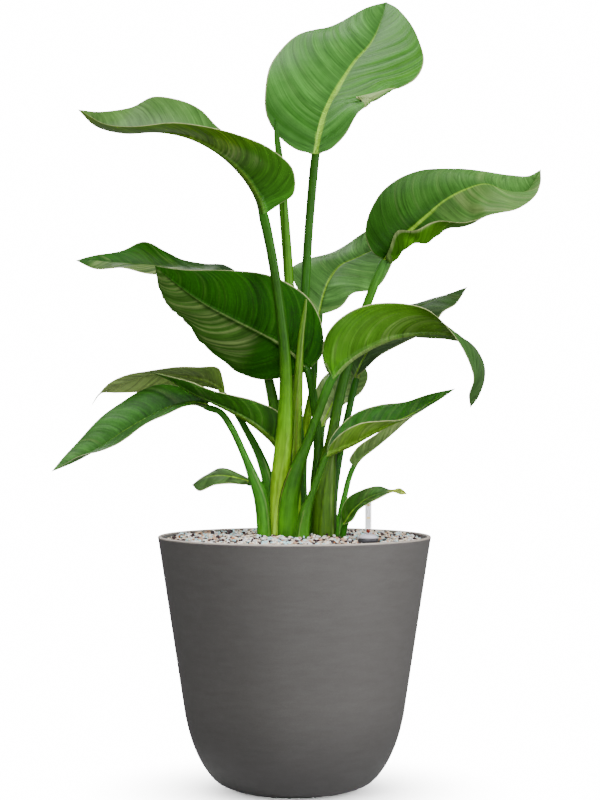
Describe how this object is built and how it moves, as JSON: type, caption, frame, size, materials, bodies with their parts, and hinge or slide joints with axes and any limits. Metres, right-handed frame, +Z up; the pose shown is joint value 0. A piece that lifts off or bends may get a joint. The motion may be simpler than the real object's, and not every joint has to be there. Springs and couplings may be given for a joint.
{
  "type": "potted giant white bird of paradise plant",
  "caption": "Young giant white bird of paradise with broad arching leaves on sheathed stems, in a round tapering grey pot with gravel top dressing and a water level gauge.",
  "frame": {"origin": "on the pot's axis, at the flat foot that the pot stands on", "axes": "+Z up, +X to the plant's right and +Y to its back, seen from the front"},
  "size_m": [0.6449, 0.364, 1.0732],
  "materials": {
    "pot_grey": "matte dark grey moulded plastic with fine scuffs and a paler rim",
    "potting_soil": "dark crumbly potting soil",
    "gravel_stone": "mixed cream, white, blue-white and purple-brown gravel",
    "gauge_dark_plastic": "dark grey moulded plastic",
    "gauge_clear_plastic": "clear plastic, slightly frosted at its foot",
    "float_red_brown": "red-brown plastic",
    "leaf_green": "waxy mid to dark green leaf, paler and duller on top, with a light midrib",
    "new_leaf_green": "waxy light yellow-green rolled leaf"
  },
  "bodies": {
    "planter": {"pot": "pot_grey", "soil": "potting_soil", "gravel": "gravel_stone", "gauge_shaft": "gauge_dark_plastic", "gauge_sight_tube": "gauge_clear_plastic", "leaf_left_top": "leaf_green", "leaf_right_mid": "leaf_green", "leaf_right_top": "leaf_green", "leaf_lower_left_front": "leaf_green", "leaf_dark_left": "leaf_green", "leaf_top": "leaf_green", "leaf_front_right": "leaf_green", "leaf_lower_left_inner": "leaf_green", "leaf_lower_left_back": "leaf_green", "leaf_left_far": "leaf_green", "leaf_behind_right": "leaf_green", "leaf_right_behind": "leaf_green", "leaf_low_behind": "leaf_green", "leaf_left_low": "leaf_green", "leaf_right_low": "leaf_green", "leaf_right_bottom": "leaf_green", "new_leaf_short": "new_leaf_green", "new_leaf_tall": "new_leaf_green"},
    "float": {"gauge_float": "float_red_brown"}
  },
  "joints": [
    {"name": "float_rise", "type": "slide", "parent": "planter", "child": "float", "axis": [0, 0, 1], "range_m": [0, 0.043]}
  ]
}
